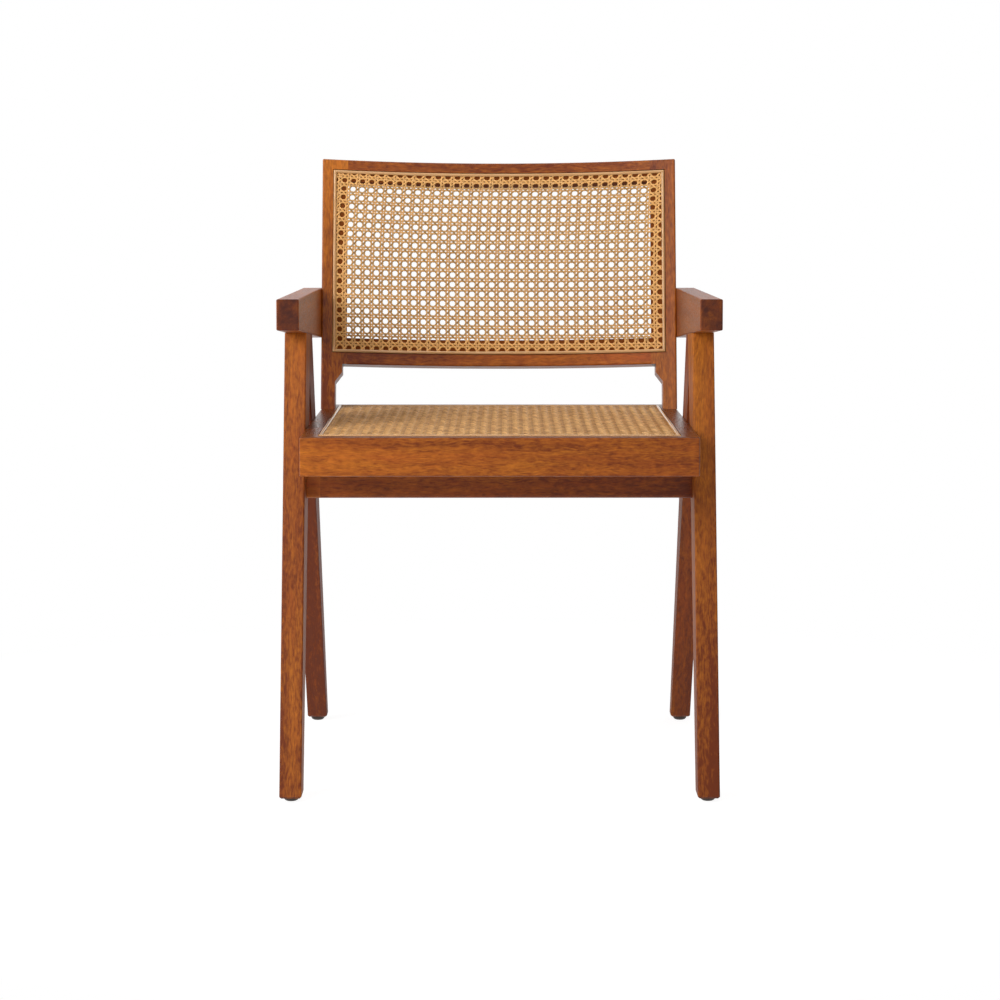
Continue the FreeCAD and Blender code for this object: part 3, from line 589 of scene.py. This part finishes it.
def back_surface(along, up, lift):
    """A point on the bowed back: along is the arc from its middle, up the way along the stile, and lift the
    height in front of the wood's face. The arc turns by along / radius about the bow's centre, and the whole
    back then leans backwards by the tilt."""
    sizes = bpy.context.scene.armchair_sizes
    radius = back_radius()
    turn = along / radius
    x = (radius - lift) * np.sin(turn)
    depth = (radius - lift) * np.cos(turn) - (radius - sizes.back_sag)
    y = sizes.back_front + depth * math.cos(sizes.back_tilt) + up * math.sin(sizes.back_tilt)
    z = SEAT_HIGH[2] - depth * math.sin(sizes.back_tilt) + up * math.cos(sizes.back_tilt)
    return np.stack(np.broadcast_arrays(x, y, z), -1)


def back_arc(x):
    """The arc from the middle of the back to a place x across it: radius * asin(x / radius)."""
    radius = back_radius()
    return radius * math.asin(x / radius)


def seat_surface(along, up, lift):
    """A point on the flat seat: along is X, up the way backwards from its middle and lift the height."""
    middle = (SEAT_LOW[1] + SEAT_HIGH[1]) / 2
    return np.stack(np.broadcast_arrays(along, middle + up, SEAT_HIGH[2] + lift), -1)


def back_weave(column, row):
    """Where a column and row of the back's webbing lie, along and up the panel. The webbing is never
    stretched evenly: with u and v from -1 to 1 across and up the panel, the uprights lean by v, bow by
    v * v, are drawn to one side by u * u and crowd by u ** 3, and the crosses do the same the other way
    round, with a bow that changes with v. The middle of the weave is half way between two crosses."""
    sizes = bpy.context.scene.armchair_sizes
    half_columns, half_rows, bow_change = 16, 9, 1.5
    row = row - 0.5
    u, v = column / half_columns, row / half_rows
    along = sizes.weave_side + sizes.column_pitch * column
    along = along + sizes.column_lean * v + sizes.column_bow * v * v
    along = along + sizes.column_stretch * u * u - sizes.column_crowd * u ** 3
    up = sizes.weave_height + sizes.row_pitch * row - sizes.row_sag * v * v - sizes.row_crowd * v ** 3
    up = up - sizes.row_turn * u + sizes.row_bow * u * u * (1 + bow_change * v)
    return along, up


def seat_weave(column, row):
    """Where a column and row of the seat's webbing lie, across and backwards: even, and turned a little."""
    pitch = bpy.context.scene.armchair_sizes.seat_pitch
    column_turn, row_turn = 0.004, 0.003
    return pitch * (column + column_turn * row), pitch * (row - row_turn * column)


def over_under(place, offset):
    """Rise and fall of a strand at the pairs that it crosses, which lie offset each side of the whole
    numbers: the slope of a bell curve, q * exp((1 - q * q) / 2) with q = distance / offset, which is 1 and
    -1 at the pair."""
    q = (place - np.round(place)) / offset
    return q * np.exp((1 - q * q) / 2)


def woven_set(kind, low, high, pitch, weave, surface, thickness):
    """One set of strands of a caned panel between two corners, low and high, of its flat coordinates.

    In units of the pitch, pairs of uprights stand at whole columns and pairs of crosses lie at whole rows,
    and each strand of a pair goes over one strand and under the other of every pair that it meets. A pair is
    close where it meets another and leans apart between, by a cosine. Single diagonals pass half way between
    the crossings. Falling ones lie over the crosses and under the uprights, rising ones the other way round,
    so their height is a cosine of the row. weave turns a column and row into a place along and up the panel,
    and surface turns that place and a height into a point."""
    sizes = bpy.context.scene.armchair_sizes
    # Enough pairs each way from the middle to cover the panel's diagonal
    spare_pairs = 2
    diagonal = np.hypot(high[0] - low[0], high[1] - low[1])
    reach = np.ceil(diagonal / min(pitch)) // 2 + spare_pairs
    whole = np.arange(-reach, reach + 1)
    if kind in ("uprights", "crosses"):
        own, other = (pitch if kind == "uprights" else pitch[::-1])
        half_pair = (sizes.strand_width + sizes.pair_gap) / 2
        offset = (half_pair - sizes.pair_spread) / other
        stops = np.array([-0.5, -2 * offset, -offset, offset, 2 * offset])
        samples = (whole[:, None] + stops).ravel()[None]
        lean = half_pair - sizes.pair_spread * np.cos(math.tau * samples)
        side = np.tile([-1.0, 1.0], len(whole))[:, None]
        fixed = np.repeat(whole, 2)[:, None] + side * lean / own
        wave = 0.55 * thickness
        lift = side * wave * over_under(samples, offset) * (-1 if kind == "uprights" else 1)
        column, row = (fixed, samples) if kind == "uprights" else (samples, fixed)
        ahead = (0, 1) if kind == "uprights" else (1, 0)
        width = sizes.strand_width
    else:
        stops = np.array([-0.43, -0.25, -0.07, 0.07, 0.25, 0.43])
        samples = (whole[:, None] + stops).ravel()[None]
        slope = 1 if kind == "rising" else -1
        fixed = np.arange(-2 * reach, 2 * reach)[:, None] + 0.5
        column, row = fixed + slope * samples, samples
        swing = 1.2 * thickness
        lift = -slope * swing * np.cos(math.tau * samples)
        ahead = (slope, 1)
        width = sizes.diagonal_width
    column, row, lift = np.broadcast_arrays(column, row, lift)

    along, up = weave(column, row)
    keep = (along > low[0]) & (along < high[0]) & (up > low[1]) & (up < high[1])
    path = surface(along, up, lift - sizes.cane_depth)
    step = 0.01
    forward = weave(column + step * ahead[0], row + step * ahead[1])
    forward = surface(*forward, lift - sizes.cane_depth) - path
    out = surface(along, up, lift) - path
    forward /= np.linalg.norm(forward, axis=-1, keepdims=True)
    out /= np.linalg.norm(out, axis=-1, keepdims=True)
    across = np.cross(forward, out)
    # A strand is split from the skin of a round cane: its face is crowned and its back is flat
    profile_shares = np.array([(-0.5, -0.4), (0.5, -0.4), (0.28, 0.5), (-0.28, 0.5)])
    profile = profile_shares * (width, thickness)
    points = path[:, :, None] + across[:, :, None] * profile[:, :1] + out[:, :, None] * profile[:, 1:]
    # A strand's marks are its length, and its number plus the way across it, which stops short of the next
    far_edge = 0.98
    length = (column * ahead[0] * pitch[0] + row * ahead[1] * pitch[1])[..., None] + np.zeros(len(profile))
    way_across = (profile[:, 0] / width + 0.5) * far_edge
    strand = np.arange(len(column))[:, None, None] + way_across + np.zeros_like(length)
    keep &= keep.sum(1, keepdims=True) > 1
    return points, keep, np.stack([length, strand], -1)


def weave_panel(node, skins, corners, *panel):
    """Weaves a caned panel as two pieces, the pairs and the diagonals, in two skins."""
    sets = {"straight": ("uprights", "crosses"), "diagonal": ("rising", "falling")}
    for (name, kinds), skin in zip(sets.items(), skins):
        strands = [woven_set(kind, *corners, *panel) for kind in kinds]
        new_piece(f"{node}_{name}_strands", strands, skin, "woven_cane", node)


def bead(start, end, inward, surface):
    """A spline along one side of a panel, from one outer corner to the next, mitred where it meets its
    neighbours. Across it the crown is half an ellipse, rise * sqrt(1 - t * t), on straight walls that stand
    in the groove."""
    sizes = bpy.context.scene.armchair_sizes
    wide, gap, root = sizes.spline_width, sizes.spline_gap, sizes.spline_root
    crown_points, stations = 8, 73
    t = np.cos(np.linspace(math.pi, 0, crown_points))
    across = np.concatenate([t[:1], t, t[-1:]]) * (wide - gap) / 2 + (wide + gap) / 2
    lift = np.concatenate([[-root], sizes.spline_rise * np.sqrt(1 - t * t), [-root]])
    start, end, inward = np.array(start), np.array(end), np.array(inward)
    way = (end - start) / np.linalg.norm(end - start)
    share = np.linspace(0, 1, stations)[:, None]
    along = share * (np.linalg.norm(end - start) - 2 * across) + across
    flat = start + along[..., None] * way + across[:, None] * inward
    points = surface(flat[..., 0], flat[..., 1], lift + 0 * along)[None]
    marks = np.stack([along, np.broadcast_to(across / wide, along.shape)], -1)[None]
    return points, np.ones(points.shape[:2], bool), marks


def rectangle_beads(low, high, low_name, high_name):
    """The four sides of a panel's rectangle by name, each as its two corners and the way inwards."""
    (left, bottom), (right, top) = low, high
    return {
        low_name: ((left, bottom), (right, bottom), (0, 1)),
        "right": ((right, bottom), (right, top), (-1, 0)),
        high_name: ((right, top), (left, top), (0, -1)),
        "left": ((left, top), (left, bottom), (1, 0)),
    }


def back_corners(grow):
    """The low and high corner of the back's cane in its flat coordinates, grown outwards."""
    sizes = bpy.context.scene.armchair_sizes
    half = back_arc(sizes.back_cane_half + grow)
    return (-half, sizes.back_cane_low - grow), (half, sizes.back_cane_high + grow)


def seat_corners(grow):
    """The low and high corner of the seat's cane in its flat coordinates, grown outwards."""
    half_depth = (SEAT_HIGH[1] - SEAT_LOW[1]) / 2
    return (SEAT_LOW[0] - grow, -half_depth - grow), (SEAT_HIGH[0] + grow, half_depth + grow)


class ARMCHAIR_OT_side_frames(bpy.types.Operator):
    """Gives the legs and armrests their wood, with the grain along each piece"""
    bl_idname = "armchair.side_frames"
    bl_label = "Side frames"

    def execute(self, context):
        front_lean, rear_lean, deep = math.radians(15.6), math.radians(-29.3), (0, 1, 0)
        front = (0, math.sin(front_lean), math.cos(front_lean))
        rear = (0, math.sin(rear_lean), math.cos(rear_lean))
        # Each board's node, grain, tones, share of red and place
        # The front legs' tones, darker towards the floor, are partly painted shade
        boards = (
            ("left_front_leg", front, (-0.24, 0.1), 0.15, 1),
            ("right_front_leg", front, (-0.34, 0.3), 0.0, 21),
            ("left_rear_leg", rear, (-0.35, -0.35), 0.9, 3),
            ("right_rear_leg", rear, (-0.1, -0.1), 0.8, 4),
            ("left_armrest", deep, (-0.05, 0.15), 0.7, 5),
            ("right_armrest", deep, (-0.1, -0.1), 0.6, 6))
        for node, *wood in boards:
            # Hands polish the armrests, and the legs stay duller
            dull = 0.2 if node.endswith("leg") else 0.0
            dress(hardwood(node, *wood, dull=dull), node)
        return {"FINISHED"}


class ARMCHAIR_OT_seat_frame(bpy.types.Operator):
    """Gives the seat's rails, corner blocks and stretchers their wood"""
    bl_idname = "armchair.seat_frame"
    bl_label = "Seat frame"

    def execute(self, context):
        across, deep, slant = (1, 0, 0), (0, 1, 0), math.sqrt(0.5)
        # Each board's node, grain, tones, share of red and place
        boards = (
            ("seat_front_rail", across, (0.2, -0.08), 0.35, 7),
            ("seat_rear_rail", across, (0, 0), 0.5, 8),
            ("left_seat_side_rail", deep, (-0.05, -0.05), 0.6, 9),
            ("right_seat_side_rail", deep, (-0.05, -0.05), 0.6, 10),
            ("front_stretcher", across, (0.1, -0.25), 0.6, 11),
            ("rear_stretcher", across, (0, 0), 0.6, 12),
            ("left_front_corner_block", (slant, slant, 0), (0, 0), 0.5, 13),
            ("right_front_corner_block", (slant, -slant, 0), (0, 0), 0.5, 14),
            ("left_rear_corner_block", (slant, -slant, 0), (0, 0), 0.5, 19),
            ("right_rear_corner_block", (slant, slant, 0), (0, 0), 0.5, 20))
        painted_light_end_length = context.scene.armchair_sizes.painted_light_end_length
        # Every seat board gets painted shade on its faces turned up, where it is also polished
        for node, *wood in boards:
            # The front stretcher gets a painted patch of light at its left end
            painted_light_end = painted_light_end_length if node == "front_stretcher" else 0.0
            dress(hardwood(node, *wood, painted_top_shade_and_polish=True, painted_light_end=painted_light_end), node)
        return {"FINISHED"}


class ARMCHAIR_OT_back_frame(bpy.types.Operator):
    """Gives the stiles and rails of the back their wood"""
    bl_idname = "armchair.back_frame"
    bl_label = "Back frame"

    def execute(self, context):
        tilt = context.scene.armchair_sizes.back_tilt
        upright, across = (0, math.sin(tilt), math.cos(tilt)), (1, 0, 0)
        # Each board's node, grain, tones, share of red and place
        boards = (
            ("left_back_stile", upright, (-0.25, 0.36), 0.1, 15),
            ("right_back_stile", upright, (0.14, -0.16), 0.3, 16),
            ("back_top_rail", across, (-0.1, -0.16), 0.25, 22),
            ("back_bottom_rail", across, (-0.15, 0.3), 0.6, 18))
        # Every board gets painted shade on its wood under the cane
        for node, *wood in boards:
            dress(hardwood(node, *wood, caned=True), node)
        return {"FINISHED"}


class ARMCHAIR_OT_back_cane(bpy.types.Operator):
    """Weaves the cane of the back along its bow"""
    bl_idname = "armchair.back_cane"
    bl_label = "Back cane"

    def execute(self, context):
        sizes, colours = context.scene.armchair_sizes, context.scene.armchair_colours
        mottle, pair_pale_share, diagonal_pale_share = 0.8, 0.2, 0.8
        skins = (
            rattan_skin(
                "rattan skin of the back's pairs", colours.cane_dark, colours.cane_light,
                mottle, "back_cane", pair_pale_share),
            rattan_skin(
                "rattan skin of the back's diagonals", colours.diagonal_dark, colours.diagonal_light,
                mottle, "back_cane", diagonal_pale_share))
        pitch = sizes.column_pitch, sizes.row_pitch
        weave_panel("back_cane", skins, back_corners(sizes.tuck), pitch, back_weave, back_surface,
                    sizes.strand_thickness)
        return {"FINISHED"}


class ARMCHAIR_OT_seat_cane(bpy.types.Operator):
    """Weaves the cane of the seat"""
    bl_idname = "armchair.seat_cane"
    bl_label = "Seat cane"

    def execute(self, context):
        sizes, colours = context.scene.armchair_sizes, context.scene.armchair_colours
        mottle = 1.8
        skins = (
            rattan_skin(
                "rattan skin of the seat's pairs", colours.seat_dark, colours.seat_light, mottle),
            rattan_skin(
                "rattan skin of the seat's diagonals", colours.seat_cross_dark, colours.seat_cross_light,
                mottle))
        pitch = sizes.seat_pitch, sizes.seat_pitch
        weave_panel("seat_cane", skins, seat_corners(sizes.tuck), pitch, seat_weave, seat_surface,
                    sizes.seat_thickness)
        return {"FINISHED"}


class ARMCHAIR_OT_splines(bpy.types.Operator):
    """Presses the crowned splines into the grooves round both caned panels"""
    bl_idname = "armchair.splines"
    bl_label = "Splines"

    def execute(self, context):
        grow = context.scene.armchair_sizes.spline_width
        cane_reed = reed("pressed reed")
        panels = (
            ("back", back_surface, rectangle_beads(*back_corners(grow), "bottom", "top")),
            ("seat", seat_surface, rectangle_beads(*seat_corners(grow), "front", "rear")))
        for panel, surface, sides in panels:
            for side, place in sides.items():
                node = f"{panel}_spline_{side}"
                new_piece(node + "_reed", [bead(*place, surface)], cane_reed, "cane_spline", node)
        return {"FINISHED"}


class ARMCHAIR_OT_fasteners(bpy.types.Operator):
    """Gives dowels, bolts, screws, nails and glides their materials"""
    bl_idname = "armchair.fasteners"
    bl_label = "Fasteners and glides"

    def execute(self, context):
        dress(beech("beech dowels"), "leg_joint_dowels", "arm_leg_dowels", "arm_stile_dowels",
              "stretcher_dowels", "seat_rail_dowels", "stile_foot_dowels", "back_rail_dowels")
        dress(zinc_plate("zinc-plated steel"), "leg_bolts", "leg_bolt_washers", "corner_block_screws",
              "glide_nails")
        dress(moulded_plastic("polypropylene glides"), "left_front_glide", "right_front_glide",
              "left_rear_glide", "right_rear_glide")
        return {"FINISHED"}


class ARMCHAIR_OT_studio(bpy.types.Operator):
    """Sets the floor, backdrop light, lamps and camera"""
    bl_idname = "armchair.studio"
    bl_label = "Studio"

    def execute(self, context):
        studio = context.scene.armchair_studio
        context.scene.view_settings.view_transform = "Standard"
        self.floor(studio)
        self.backdrop(studio)
        lamps = (
            ("key lamp", studio.key, 1.3, (-1.5, -1.5, 1.5)),
            ("fill lamp", studio.fill, 1.0, (0.6, -2.3, 1.65)),
            ("top lamp", studio.top, 1.6, (0.0, -0.5, 2.4)))
        for name, power, size, place in lamps:
            self.lamp(name, power, size, place)
        camera = bpy.data.cameras.new("camera")
        camera.lens = studio.lens
        camera.sensor_fit = "HORIZONTAL"
        camera.shift_y = studio.shift
        view = bpy.data.objects.new("camera", camera)
        view.location = (studio.camera_side, -studio.camera_back, studio.camera_height)
        view.rotation_euler = (math.pi / 2 - studio.camera_pitch, 0, studio.camera_yaw)
        context.scene.collection.objects.link(view)
        context.scene.camera = view
        return {"FINISHED"}

    def floor(self, studio):
        """A flat pale floor, which also glows for light rays, painted light that stands in for the light it
        throws back up. The eye sees it white, a little darker in the chair's shadow."""
        reach = 6.0
        mesh = bpy.data.meshes.new("studio_floor")
        corners = reach * np.array([(-1, -1, 0), (1, -1, 0), (1, 1, 0), (-1, 1, 0)])
        mesh.from_pydata(corners.tolist(), [], [(0, 1, 2, 3)])
        material, tree = new_material("painted studio floor")
        pale = linear(bpy.context.scene.armchair_colours.floor)
        path = add(tree, "ShaderNodeLightPath")
        seen = add(tree, "ShaderNodeMath", {
            0: path.outputs["Is Camera Ray"], 1: path.outputs["Is Glossy Ray"]}, operation="MAXIMUM")
        seen = add(tree, "ShaderNodeMath", {
            0: seen, 1: path.outputs["Is Transmission Ray"]}, operation="MAXIMUM")
        plain = add(tree, "ShaderNodeBsdfDiffuse", {"Color": pale})
        # Painted light: the floor glows, standing in for the light that it throws back up
        lit = add(tree, "ShaderNodeEmission", {"Strength": studio.glow})
        plain = add(tree, "ShaderNodeAddShader", {0: plain, 1: lit})
        faint = add(tree, "ShaderNodeBsdfDiffuse", {"Color": (0.25, 0.25, 0.25, 1.0)})
        glow = add(tree, "ShaderNodeEmission", {"Strength": 0.93})
        shaded = add(tree, "ShaderNodeAddShader", {0: faint, 1: glow})
        # Past the chair's shadow the floor turns as white as the backdrop
        spot = add(tree, "ShaderNodeTexCoord")
        spot = add(tree, "ShaderNodeVectorMath", {0: spot.outputs["Object"]}, operation="LENGTH")
        far = add(tree, "ShaderNodeMapRange", {
            "Value": spot.outputs["Value"], "From Min": 0.5, "From Max": 1.1})
        bright = add(tree, "ShaderNodeEmission", {"Strength": 1.0})
        white = add(tree, "ShaderNodeMixShader", {0: far, 1: shaded, 2: bright})
        mixed = add(tree, "ShaderNodeMixShader", {0: seen, 1: plain, 2: white})
        add(tree, "ShaderNodeOutputMaterial", {"Surface": mixed})
        mesh.materials.append(material)
        floor = bpy.data.objects.new("studio_floor", mesh)
        bpy.context.scene.collection.objects.link(floor)

    def backdrop(self, studio):
        """White behind the chair, and a dimmer room in front of it. The eye sees white all round."""
        white_light = (1.0, 1.0, 1.0, 1.0)
        world = bpy.data.worlds.new("studio")
        bpy.context.scene.world = world
        world.use_nodes = True
        tree = world.node_tree
        tree.nodes.clear()
        path = add(tree, "ShaderNodeLightPath")
        direction = add(tree, "ShaderNodeTexCoord")
        depth = add(tree, "ShaderNodeSeparateXYZ", {0: direction.outputs["Generated"]})
        behind = add(tree, "ShaderNodeMapRange", {
            "Value": depth.outputs["Y"], "From Min": -0.1, "From Max": 0.5})
        shown = add(tree, "ShaderNodeMath", {
            0: path.outputs["Is Glossy Ray"], 1: path.outputs["Is Transmission Ray"]}, operation="MAXIMUM")
        shown = add(tree, "ShaderNodeMath", {0: shown, 1: behind}, operation="MULTIPLY")
        shown = add(tree, "ShaderNodeMath", {
            0: shown, 1: path.outputs["Is Camera Ray"]}, operation="MAXIMUM")
        room = add(tree, "ShaderNodeBackground", {"Color": white_light, "Strength": studio.room})
        white = add(tree, "ShaderNodeBackground", {"Color": white_light, "Strength": 1.0})
        mixed = add(tree, "ShaderNodeMixShader", {0: shown, 1: room, 2: white})
        add(tree, "ShaderNodeOutputWorld", {"Surface": mixed})

    def lamp(self, name, power, size, place):
        """A large square lamp that looks at the middle of the chair."""
        aim = Vector((0, 0, 0.45))
        light = bpy.data.lights.new(name, "AREA")
        light.energy = power
        light.size = size
        lamp = bpy.data.objects.new(name, light)
        lamp.location = place
        lamp.rotation_euler = (aim - Vector(place)).to_track_quat("-Z", "Y").to_euler()
        bpy.context.scene.collection.objects.link(lamp)


OPERATORS = (
    ARMCHAIR_OT_side_frames, ARMCHAIR_OT_seat_frame, ARMCHAIR_OT_back_frame, ARMCHAIR_OT_back_cane,
    ARMCHAIR_OT_seat_cane, ARMCHAIR_OT_splines, ARMCHAIR_OT_fasteners, ARMCHAIR_OT_studio)


class ARMCHAIR_PT_panel(bpy.types.Panel):
    """Lists the pieces of the armchair and the values they are made from"""
    bl_label = "Cane armchair"
    bl_idname = "ARMCHAIR_PT_panel"
    bl_space_type = "VIEW_3D"
    bl_region_type = "UI"
    bl_category = "Armchair"

    def draw(self, context):
        for operator in OPERATORS:
            self.layout.operator(operator.bl_idname)
        scene = context.scene
        for group in (scene.armchair_sizes, scene.armchair_colours, scene.armchair_studio):
            box = self.layout.box()
            for name in group.__annotations__:
                box.prop(group, name)


CLASSES = (ArmchairSizes, ArmchairColours, ArmchairStudio) + OPERATORS + (ARMCHAIR_PT_panel,)


def register():
    for item in CLASSES:
        bpy.utils.register_class(item)
    bpy.types.Scene.armchair_sizes = PointerProperty(type=ArmchairSizes)
    bpy.types.Scene.armchair_colours = PointerProperty(type=ArmchairColours)
    bpy.types.Scene.armchair_studio = PointerProperty(type=ArmchairStudio)


def unregister():
    del bpy.types.Scene.armchair_sizes, bpy.types.Scene.armchair_colours, bpy.types.Scene.armchair_studio
    for item in reversed(CLASSES):
        bpy.utils.unregister_class(item)


def main():
    register()
    bpy.ops.armchair.side_frames()
    bpy.ops.armchair.seat_frame()
    bpy.ops.armchair.back_frame()
    bpy.ops.armchair.back_cane()
    bpy.ops.armchair.seat_cane()
    bpy.ops.armchair.splines()
    bpy.ops.armchair.fasteners()
    bpy.ops.armchair.studio()


if __name__ == "__main__":
    main()
